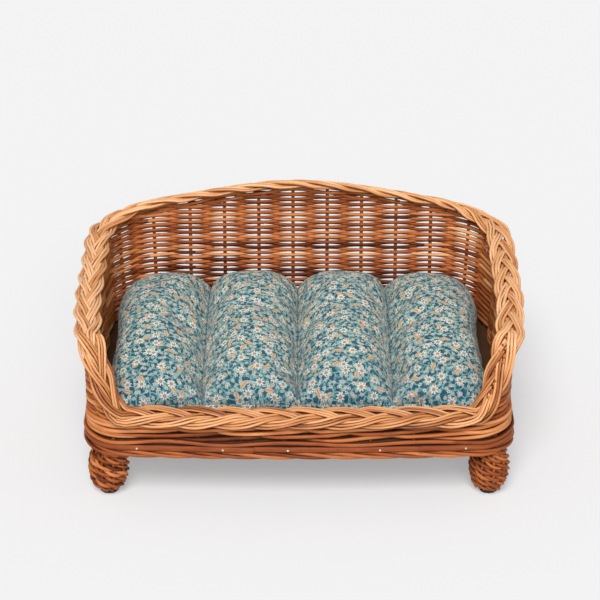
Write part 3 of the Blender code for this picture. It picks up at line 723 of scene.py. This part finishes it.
def driveNails():
    finish, tree, shader = newFinish("nail steel", nails["roughness"][0])
    spot = addNode(tree, "ShaderNodeTexCoord").outputs["Object"]
    wear = addNoise(tree, spot, nails["wear"], 2.0)
    ramp = addNode(tree, "ShaderNodeValToRGB", {"Fac": wear})
    for stop, tone in zip(ramp.color_ramp.elements, nails["tones"]):
        stop.color = (*tone, 1.0)
    tree.links.new(ramp.outputs["Color"], shader.inputs["Base Color"])
    smoother, rougher = nails["roughness"]
    rough = addNode(tree, "ShaderNodeMapRange", {
        "Value": wear, "To Min": smoother, "To Max": rougher}).outputs[0]
    tree.links.new(rough, shader.inputs["Roughness"])
    shader.inputs["Metallic"].default_value = nails["metallic"]
    runs = list(nails["front"])
    run = nails["front"][-1] + nails["spacing"]
    while run < loopLength + nails["front"][0] - nails["spacing"] / 2:
        runs.append(run)
        run += nails["spacing"]
    heads = []
    for run in runs:
        bpy.ops.object.select_all(action="DESELECT")
        face = basket["boardEdge"] + hoop["inset"] + hoop["depth"]
        spot = baseSpot(run, hoop["height"], face + nails["proud"])
        out = planOut(run)
        bpy.ops.mesh.primitive_uv_sphere_add(segments=10, ring_count=6, radius=nails["radius"], location=spot)
        head = bpy.context.object
        head.scale = (1.0, 1.0, nails["flat"])
        head.rotation_euler = out.to_track_quat("Z", "Y").to_euler()
        heads.append(head)
    bpy.ops.object.select_all(action="DESELECT")
    for head in heads:
        head.select_set(True)
    bpy.context.view_layer.objects.active = heads[0]
    bpy.ops.object.join()
    bpy.ops.object.transform_apply(location=True, rotation=True, scale=True)
    bpy.ops.object.shade_smooth()
    piece = bpy.context.object
    piece.name = "hoop_nails"
    piece.data.materials.clear()
    piece.data.materials.append(finish)
    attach(piece, "basket")
    print("hoop nails,", len(runs))


driveNails()

# woven ball feet: slanting rods wound up the bulb, in and out of nine short stakes
foot = {"stakes": 9, "radius": 0.0236, "taper": 0.72, "rod": 0.0050, "sizes": (0.92, 1.08), "winders": 15,
        "turns": 0.85, "offset": 0.0027, "knots": 44, "shade": (0.31, 0.16, 0.10), "grime": 0.38,
        "stakeRod": 0.0040, "stakeKnots": 10, "stakeInset": 0.001, "stakeShade": (0.2, 0.4),
        "bottom": 0.0055, "top": 0.0705}


def weaveFeet():
    finish = willowFinish("foot willow", shadedWillowTones)
    middle, half = (foot["bottom"] + foot["top"]) / 2, (foot["top"] - foot["bottom"]) / 2

    def bulb(height):
        share = (height - middle) / half
        return foot["radius"] * math.sqrt(max(0.05, 1 - foot["taper"] * share * share))

    for corner in ("front_left", "front_right", "back_left", "back_right"):
        low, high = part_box(corner + "_leg")
        x, y = (low.x + high.x) / 2, (low.y + high.y) / 2
        rods = []
        lean = rng.uniform(0, 2 * math.pi)
        for stake in range(foot["stakes"]):
            angle = lean + 2 * math.pi * stake / foot["stakes"]
            path = []
            reach = foot["top"] - foot["bottom"] - 2 * foot["stakeInset"]
            for i in range(foot["stakeKnots"] + 1):
                height = foot["bottom"] + foot["stakeInset"] + reach * i / foot["stakeKnots"]
                out = Vector((math.cos(angle), math.sin(angle), 0.0)) * bulb(height)
                path.append(Vector((x, y, height)) + out)
            rods.append(closeEnds(path, foot["stakeRod"], rng.uniform(*foot["stakeShade"])))
        for winder in range(foot["winders"]):
            path, faces = [], []
            for i in range(foot["knots"] + 1):
                share = i / foot["knots"]
                room = foot["top"] - foot["bottom"] - foot["rod"]
                height = foot["bottom"] + foot["rod"] / 2 + room * share
                turn = winder / foot["winders"] - foot["turns"] * share
                angle = lean + 2 * math.pi * turn
                out = bulb(height) + foot["offset"] * math.cos(math.pi * (foot["stakes"] * turn + winder))
                faces.append(Vector((math.cos(angle), math.sin(angle), 0.0)))
                path.append(Vector((x, y, height)) + faces[-1] * out)
            shade = pickShade(*foot["shade"])
            rods.append(closeEnds(
                path, foot["rod"] * rng.uniform(*foot["sizes"]), shade, faces, foot["grime"]))
        piece = bendRods("woven_" + corner + "_foot", rods, finish)
        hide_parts(corner + "_ball_foot")
    print("woven feet")


weaveFeet()

# the loose cushion, four sewn channels
cushion = {"aside": -0.002, "sideGap": 0.016, "frontGap": 0.018, "backGap": 0.012, "height": 0.094,
           "frontDrop": 0.020, "pull": 0.005, "corner": 0.07, "waist": 0.38, "channels": 4, "seam": 0.044,
           "rollPower": 3.0, "rollFullness": 0.42, "clearance": 0.0006,
           "columns": 16, "rows": 46, "freeRows": 3}
swelling = {"frames": 20, "quality": 6, "mass": 0.25, "stretch": 14.0, "shear": 5.0,
            "bend": 0.4, "pressure": 4.0,
            "shrink": -0.045, "most": 0.014, "clearance": 0.0005}


def cushionSpot(across, deep):
    halfWidth = basket["halfWidth"] - cushion["sideGap"]
    front = -basket["halfDepth"] + cushion["frontGap"]
    back = basket["halfDepth"] - cushion["backGap"]
    halfDepth = (back - front) / 2
    wide = halfWidth - cushion["pull"] * (1 - deep ** 2)
    long = halfDepth - cushion["pull"] * (1 - across ** 2)
    x = across * math.sqrt(1 - cushion["corner"] * deep ** 4) * wide
    y = deep * math.sqrt(1 - cushion["corner"] * across ** 4) * long
    return x + cushion["aside"], y + (front + back) / 2 + basket["shift"]


def channelRoll(across):
    place = (across + 1) / 2 * cushion["channels"]
    local = 2 * (place - min(cushion["channels"] - 1, math.floor(place))) - 1
    return max(0.0, 1 - abs(local) ** cushion["rollPower"]) ** cushion["rollFullness"]


def cushionHeights(across, deep):
    bottom = basket["boardTop"] + cushion["clearance"]
    edge = bottom + cushion["height"] * cushion["waist"]
    end = math.sqrt(max(0.0, 1 - deep ** 4))
    outer = math.sqrt(max(0.0, 1 - across ** 10))
    crown = cushion["height"] - cushion["frontDrop"] * (1 - deep) / 2
    seam = cushion["seam"] / cushion["height"]
    roll = seam + (1 - seam) * channelRoll(across)
    top = edge + (bottom + crown * roll - edge) * end * outer
    low = edge - (edge - bottom) * math.sqrt(end) * math.sqrt(outer)
    return top, max(bottom, low)


def sineSpread(count):
    return [math.sin(math.pi / 2 * (2 * i / count - 1)) for i in range(count + 1)]


def sewCushion():
    columns = []
    for channel in range(cushion["channels"]):
        for share in sineSpread(cushion["columns"])[:-1]:
            columns.append(-1 + (2 * channel + 1 + share) / cushion["channels"])
    columns.append(1.0)
    rows = sineSpread(cushion["rows"])
    wide, deepCount = len(columns), len(rows)
    points, index = [], {}
    for level in (0, 1):
        for r, deep in enumerate(rows):
            for c, across in enumerate(columns):
                rim = r in (0, deepCount - 1) or c in (0, wide - 1)
                if level == 1 and rim:
                    index[level, r, c] = index[0, r, c]
                    continue
                x, y = cushionSpot(across, deep)
                index[level, r, c] = len(points)
                points.append((x, y, cushionHeights(across, deep)[level]))
    faces = []
    for r in range(deepCount - 1):
        for c in range(wide - 1):
            quad = [(r, c), (r, c + 1), (r + 1, c + 1), (r + 1, c)]
            faces.append(tuple(index[(0,) + one] for one in quad))
            faces.append(tuple(index[(1,) + one] for one in reversed(quad)))
    mesh = bpy.data.meshes.new("quilted_cushion")
    mesh.from_pydata(points, [], faces)
    piece = bpy.data.objects.new("quilted_cushion", mesh)
    bpy.context.scene.collection.objects.link(piece)
    seamPlaces = mapCloth(mesh, points, index, wide, deepCount)
    held = piece.vertex_groups.new(name="held")
    free = cushion["freeRows"]
    pins = [index[1, r, c] for r in range(free, deepCount - free) for c in range(free, wide - free)]
    seamColumns = range(cushion["columns"], wide - 1, cushion["columns"])
    seams = [index[0, r, c] for r in range(deepCount) for c in seamColumns]
    held.add(sorted(set(pins + seams)), 1.0, "REPLACE")
    faceOutwards(piece)
    swellCushion(piece)
    smooth = piece.modifiers.new("smooth cloth", "SUBSURF")
    smooth.levels = smooth.render_levels = 1
    pickOnly(piece)
    bpy.ops.object.modifier_apply(modifier=smooth.name)
    bpy.ops.object.shade_smooth()
    piece.data.materials.append(printedCotton(seamPlaces))
    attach(piece, "cushion")
    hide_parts("cushion_cover", *["cushion_fill_%d" % (i + 1) for i in range(cushion["channels"])])
    print("cushion,", len(piece.data.polygons), "faces")


# the cloth's own map, in metres along the cloth
def clothRuns(grid, axis):
    steps = np.linalg.norm(np.diff(grid, axis=axis), axis=2)
    return np.insert(np.cumsum(steps, axis=axis), 0, 0.0, axis=axis)


def mapCloth(mesh, points, index, wide, deepCount):
    spots = np.array(points)
    places = {}
    for level in (0, 1):
        grid = np.array([[spots[index[level, r, c]] for c in range(wide)] for r in range(deepCount)])
        across, along = clothRuns(grid, 1), clothRuns(grid, 0)
        across = across - across[:, [wide // 2]]
        mean = across.mean(axis=0)
        if level == 0:
            seams = [float(mean[c]) for c in range(cushion["columns"], wide - 1, cushion["columns"])]
        meanAlong = along.mean(axis=1)
        for r in range(deepCount):
            for c in range(wide):
                places[level, index[level, r, c]] = (mean[c], meanAlong[r] + level)
    layer = mesh.uv_layers.new(name="clothMap")
    for number, polygon in enumerate(mesh.polygons):
        for loop in polygon.loop_indices:
            layer.data[loop].uv = places[number % 2, mesh.loops[loop].vertex_index]
    return seams


def swellCushion(piece):
    start = np.array([tuple(vertex.co) for vertex in piece.data.vertices])
    cloth = piece.modifiers.new("swell", "CLOTH")
    settings = cloth.settings
    settings.quality = swelling["quality"]
    settings.mass = swelling["mass"]
    settings.tension_stiffness = settings.compression_stiffness = swelling["stretch"]
    settings.shear_stiffness = swelling["shear"]
    settings.bending_stiffness = swelling["bend"]
    settings.use_pressure = True
    settings.uniform_pressure_force = swelling["pressure"]
    settings.vertex_group_mass = "held"
    settings.shrink_min = swelling["shrink"]
    settings.effector_weights.gravity = 0.0
    cloth.collision_settings.use_collision = False
    scene = bpy.context.scene
    cloth.point_cache.frame_start, cloth.point_cache.frame_end = 1, swelling["frames"]
    for number in range(1, swelling["frames"] + 1):
        scene.frame_set(number)
    pickOnly(piece)
    bpy.ops.object.modifier_apply(modifier=cloth.name)
    ended = np.array([tuple(vertex.co) for vertex in piece.data.vertices])
    move = ended - start
    size = np.linalg.norm(move, axis=1)
    print("cushion swells by", round(float(size.max()) * 1000, 1), "mm at most")
    capped = move * np.minimum(1.0, swelling["most"] / np.maximum(size, 1e-9))[:, None]
    settled = start + capped
    settled[:, 2] = np.maximum(settled[:, 2], basket["boardTop"] + swelling["clearance"])
    piece.data.vertices.foreach_set("co", settled.ravel())
    piece.data.update()
    scene.frame_set(1)


# printed cotton: a small all-over floral of daisies, leaves, buds and stems on teal
# the seam colour is the painted shade in the stitched creases
floral = {"ground": (0.012, 0.056, 0.100), "mottle": (0.028, 0.125, 0.165), "stem": (0.24, 0.47, 0.45),
          "leaf": (0.20, 0.40, 0.36), "leafPale": (0.46, 0.60, 0.52), "cream": (0.87, 0.84, 0.74),
          "peach": (0.62, 0.27, 0.13), "sand": (0.70, 0.46, 0.26), "seam": (0.006, 0.026, 0.045)}
cloth = {"roughness": 0.82, "sheen": 0.12, "gloss": 0.25, "loose": 0.8, "seamHalf": 0.0022, "seamPaintedShade": 0.75,
         "frontEdge": 0.045, "frontFade": 0.040, "frontEdgePaintedShade": 0.34, "threads": 900.0, "bump": (0.2, 0.0004)}


def printedCotton(seamPlaces):
    finish, tree, shader = newFinish("printed cotton", cloth["roughness"])
    flat = addNode(tree, "ShaderNodeUVMap", uv_map="clothMap").outputs["UV"]

    def tint(name):
        return (*floral[name], 1.0)

    def calc(operation, *values):
        return addMath(tree, operation, *values)

    def under(value, limit, soft):
        return addNode(tree, "ShaderNodeMapRange", {
            "Value": value, "From Min": limit - soft, "From Max": limit + soft,
            "To Min": 1.0, "To Max": 0.0}).outputs[0]

    def blend(mask, below, above):
        node = addNode(tree, "ShaderNodeMix", {0: mask, 6: below, 7: above}, data_type="RGBA")
        return node.outputs[2]

    def scatter(scale, shift):
        moved = addNode(tree, "ShaderNodeVectorMath", {0: flat, 1: (shift, 1.7 * shift, 0.0)}).outputs[0]
        cells = addNode(tree, "ShaderNodeTexVoronoi", {
            "Vector": moved, "Scale": scale, "Randomness": cloth["loose"]}, voronoi_dimensions="2D")
        local = addNode(tree, "ShaderNodeVectorMath", {
            0: moved, 1: cells.outputs["Position"]}, operation="SUBTRACT")
        split = addNode(tree, "ShaderNodeSeparateXYZ", {"Vector": local.outputs[0]})
        chance = addNode(tree, "ShaderNodeSeparateColor", {"Color": cells.outputs["Color"]})
        return split.outputs["X"], split.outputs["Y"], chance.outputs["Red"]

    def far(x, y):
        return calc("SQRT", calc("ADD", calc("MULTIPLY", x, x), calc("MULTIPLY", y, y)))

    def turned(x, y, chance):
        angle = calc("MULTIPLY", chance, 2 * math.pi)
        cosine, sine = calc("COSINE", angle), calc("SINE", angle)
        across = calc("SUBTRACT", calc("MULTIPLY", x, cosine), calc("MULTIPLY", y, sine))
        along = calc("ADD", calc("MULTIPLY", x, sine), calc("MULTIPLY", y, cosine))
        return across, along

    def daisy(below, scale, shift, radius, petals):
        x, y, chance = scatter(scale, shift)
        away = far(x, y)
        angle = calc("ADD", calc("ARCTAN2", y, x), calc("MULTIPLY", chance, 6.28))
        wave = calc("COSINE", calc("MULTIPLY", angle, float(petals)))
        edge = calc("MULTIPLY_ADD", wave, 0.24 * radius, 0.76 * radius)
        petal = under(calc("SUBTRACT", away, edge), 0.0, 0.0005)
        vein = calc("MULTIPLY_ADD", wave, 0.25, 0.75)
        result = blend(petal, below, blend(vein, tint("leaf"), tint("cream")))
        result = blend(under(away, 0.36 * radius, 0.0004), result, tint("ground"))
        return blend(under(away, 0.28 * radius, 0.0005), result, tint("peach"))

    def leaves(below, scale, shift, length, width, colour):
        across, along = turned(*scatter(scale, shift))
        share = calc("DIVIDE", along, length)
        edge = calc("MULTIPLY", calc("SUBTRACT", 1.0, calc("MULTIPLY", share, share)), width)
        body = under(calc("SUBTRACT", calc("ABSOLUTE", across), edge), 0.0, 0.0004)
        vein = under(calc("ABSOLUTE", across), 0.0004, 0.0003)
        return blend(body, below, blend(calc("MULTIPLY", vein, 0.7), tint(colour), tint("ground")))

    ripple = addNode(tree, "ShaderNodeTexNoise", {"Vector": flat, "Scale": 60.0, "Detail": 2.0})
    bent = addNode(tree, "ShaderNodeVectorMath", {
        0: ripple.outputs["Color"], 1: (0.012, 0.012, 0.0)}, operation="MULTIPLY")
    bent = addNode(tree, "ShaderNodeVectorMath", {0: flat, 1: bent.outputs[0]}).outputs[0]
    colour = blend(under(addNoise(tree, flat, 160.0, 3.0), 0.5, 0.12), tint("mottle"), tint("ground"))
    stems = addNode(tree, "ShaderNodeTexVoronoi", {"Vector": bent, "Scale": 95.0},
                    feature="DISTANCE_TO_EDGE", voronoi_dimensions="2D").outputs["Distance"]
    colour = blend(under(stems, 0.07, 0.025), colour, tint("stem"))
    colour = leaves(colour, scale=120.0, shift=0.31, length=0.0034, width=0.0014, colour="leaf")
    colour = leaves(colour, scale=84.0, shift=0.57, length=0.0046, width=0.0018, colour="leafPale")
    colour = daisy(colour, scale=120.0, shift=0.83, radius=0.0024, petals=5)
    colour = leaves(colour, scale=34.0, shift=1.21, length=0.0075, width=0.0030, colour="sand")
    colour = daisy(colour, scale=44.0, shift=1.63, radius=0.0060, petals=8)
    place = addNode(tree, "ShaderNodeSeparateXYZ", {"Vector": flat}).outputs
    for seam in seamPlaces:  # the cloth is drawn in along each line of stitches, and painted shade darkens it there
        away = calc("ABSOLUTE", calc("SUBTRACT", place["X"], seam))
        stitched = calc("MULTIPLY", under(away, cloth["seamHalf"], cloth["seamHalf"]), cloth["seamPaintedShade"])
        colour = blend(stitched, colour, tint("seam"))
    front = under(place["Y"], cloth["frontEdge"], cloth["frontFade"])  # painted shade, darker along the front edge
    colour = blend(calc("MULTIPLY", front, cloth["frontEdgePaintedShade"]), colour, tint("ground"))
    tree.links.new(colour, shader.inputs["Base Color"])
    addBump(tree, shader, addNoise(tree, flat, cloth["threads"], 1.0), *cloth["bump"])
    shader.inputs["Sheen Weight"].default_value = cloth["sheen"]
    shader.inputs["Specular IOR Level"].default_value = cloth["gloss"]
    return finish


sewCushion()


# the solids that still show get wood and plastic of their own
solidLooks = {
    # plywood grain in tones darkened as painted shade, as the board lies in shadow under the cushion and
    # inside the wall
    "base_board": {"name": "plywood", "roughness": 0.7, "grain": (4.0, 60.0, 60.0), "detail": 5.0,
                   "places": (0.0, 1.0), "tones": ((0.060, 0.026, 0.010), (0.150, 0.066, 0.026)),
                   "bump": (0.15, 0.0005)},
    "_leg": {"name": "turned leg wood", "roughness": 0.5, "grain": (240.0, 240.0, 26.0), "detail": 3.0,
             "places": (0.3, 0.75), "tones": ((0.24, 0.075, 0.024), (0.46, 0.19, 0.07)),
             "bump": (0.25, 0.0005)},
    "_glide": {"name": "black moulded plastic", "roughness": 0.45, "grain": (900.0, 900.0, 900.0),
               "detail": 2.0,
               "places": (0.0, 1.0), "tones": ((0.010, 0.010, 0.010), (0.030, 0.029, 0.028)),
               "bump": (0.15, 0.0003)},
}


def solidFinish(look):
    finish, tree, shader = newFinish(look["name"], look["roughness"])
    spot = addNode(tree, "ShaderNodeTexCoord").outputs["Object"]
    run = addNode(tree, "ShaderNodeMapping", {"Vector": spot, "Scale": look["grain"]}).outputs["Vector"]
    streak = addNoise(tree, run, 1.0, look["detail"])
    ramp = addNode(tree, "ShaderNodeValToRGB", {"Fac": streak})
    for stop, place, tone in zip(ramp.color_ramp.elements, look["places"], look["tones"]):
        stop.position = place
        stop.color = (*tone, 1.0)
    tree.links.new(ramp.outputs["Color"], shader.inputs["Base Color"])
    addBump(tree, shader, streak, *look["bump"])
    return finish


def dressSolids():
    finishes = {part: solidFinish(look) for part, look in solidLooks.items()}
    for name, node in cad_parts.items():
        for part, finish in finishes.items():
            if part in name:
                node.data.materials.clear()
                node.data.materials.append(finish)
    print("solids dressed")


dressSolids()
